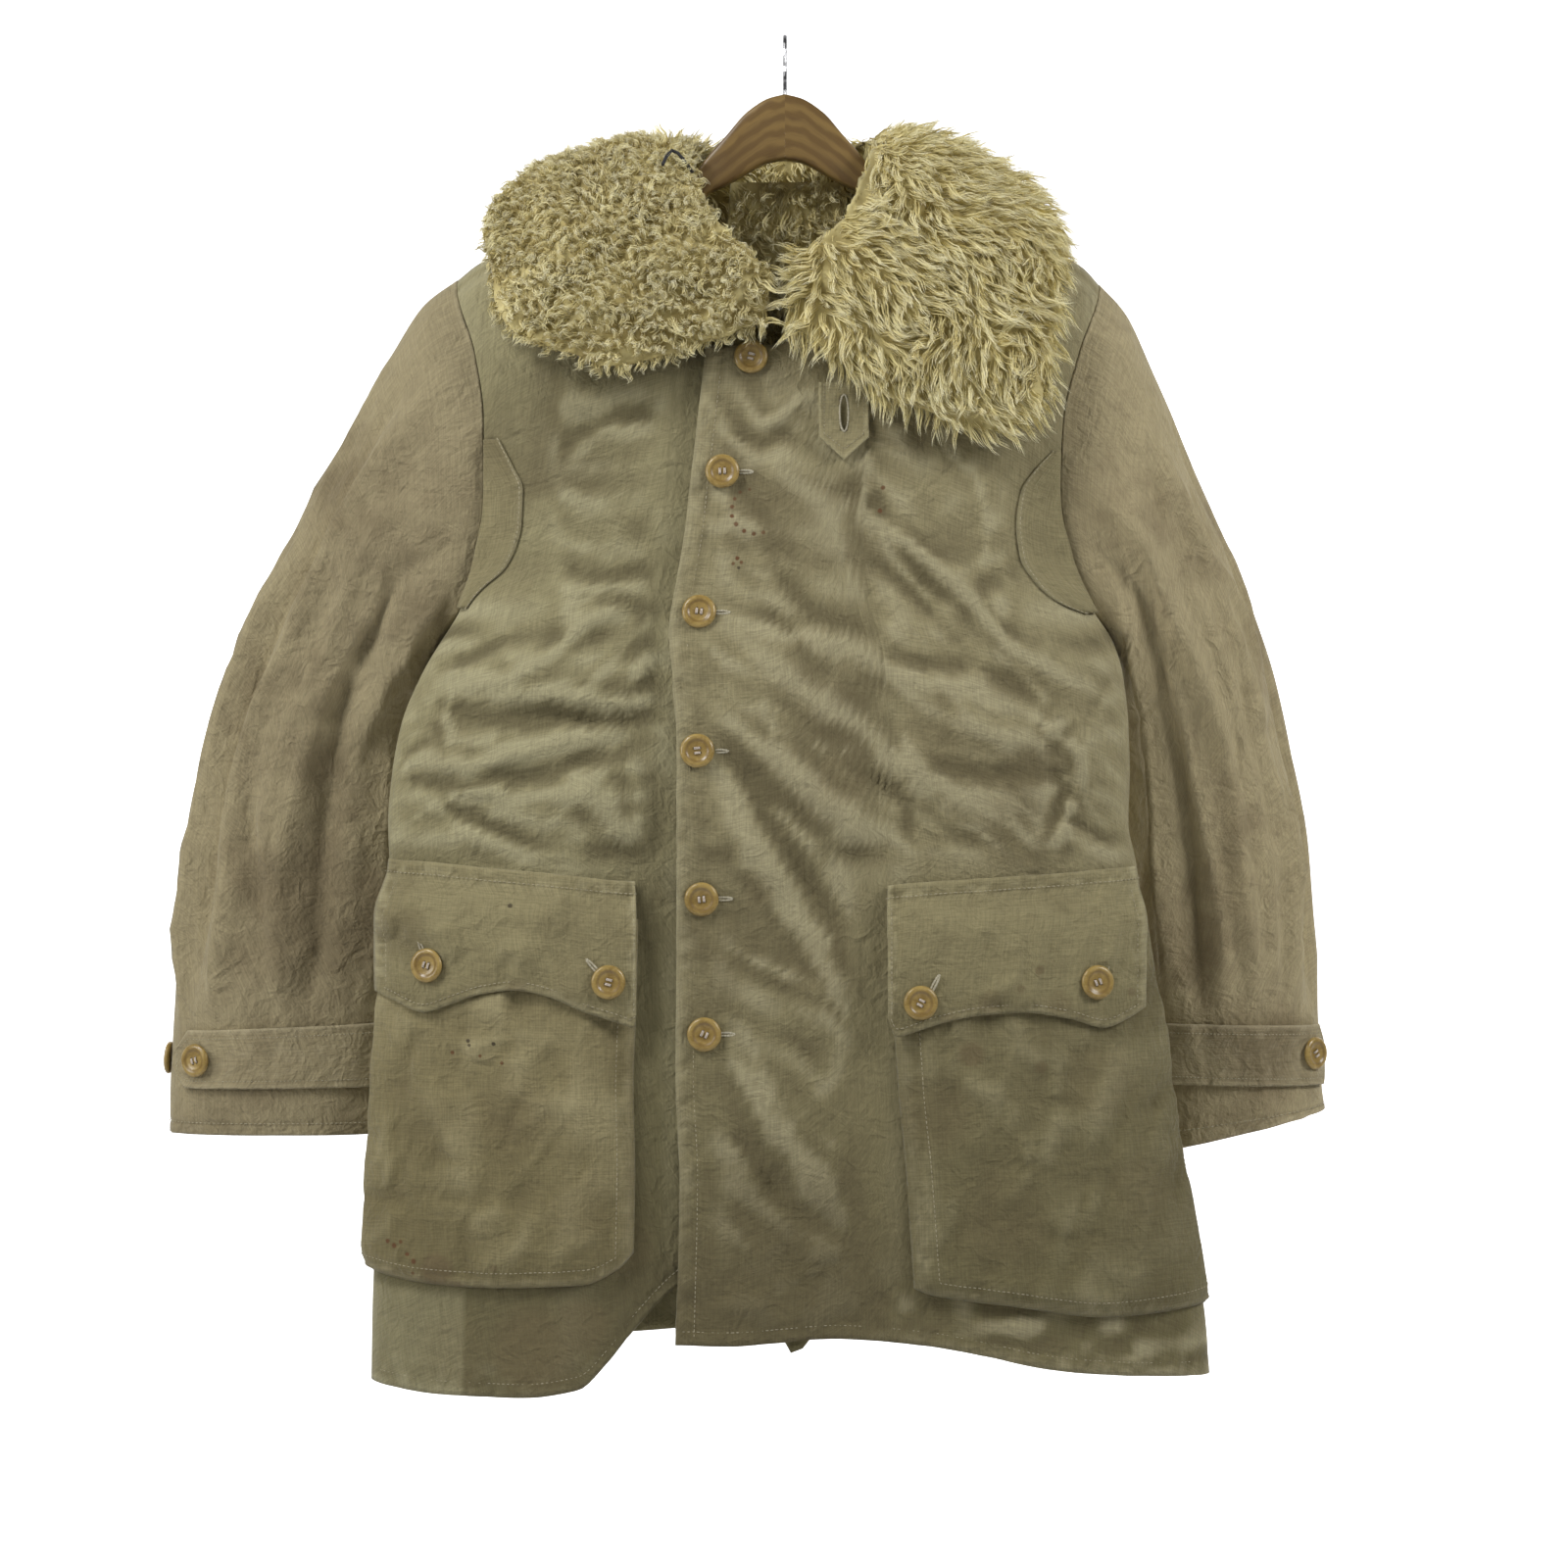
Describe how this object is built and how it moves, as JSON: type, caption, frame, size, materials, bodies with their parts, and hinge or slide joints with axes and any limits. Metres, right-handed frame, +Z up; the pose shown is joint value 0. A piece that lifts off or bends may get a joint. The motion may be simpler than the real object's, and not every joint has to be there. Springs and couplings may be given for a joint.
{
  "type": "sheepskin coat on a wooden hanger",
  "caption": "Thigh-length canvas coat with a wide sheepskin collar, buttoned front and flapped bellows pockets, hanging empty on a wooden hanger with a wire hook.",
  "frame": {"origin": "inside of the hook's bend, at its highest point, where the rail carries it", "axes": "+X to the right as one faces the coat (its wearer's left), +Y from the front to the back, +Z up"},
  "size_m": [0.8942, 0.1978, 1.0163],
  "materials": {
    "canvas": "washed cotton canvas, matt",
    "shaded canvas": "washed cotton canvas, matt, slightly greyer",
    "wool": "curly sheepskin wool",
    "horn": "worn amber-brown button",
    "hanger wood": "satin, straight grain",
    "steel": "bright wire",
    "loop": "dark cord"
  },
  "bodies": {
    "root": {"back": "canvas", "front_left": "canvas", "front_right": "canvas", "gusset_left": "canvas", "gusset_right": "canvas", "pocket_left": "canvas", "pocket_right": "canvas", "flap_left": "canvas", "flap_right": "canvas", "throat_tab": "canvas", "sleeve_left": "shaded canvas", "sleeve_right": "shaded canvas", "cuff_tab_left": "shaded canvas", "cuff_tab_right": "shaded canvas", "button_front_1": "horn", "button_front_2": "horn", "button_front_3": "horn", "button_front_4": "horn", "button_front_5": "horn", "button_front_6": "horn", "button_flap_1": "horn", "button_flap_2": "horn", "button_flap_3": "horn", "button_flap_4": "horn", "button_cuff_1": "horn", "button_cuff_2": "horn", "button_cuff_3": "horn", "button_cuff_4": "horn", "collar": "wool", "neck_fleece": "wool", "hang_loop": "loop", "hanger_arm_left": "hanger wood", "hanger_arm_right": "hanger wood", "hanger_hook": "steel"}
  },
  "joints": []
}
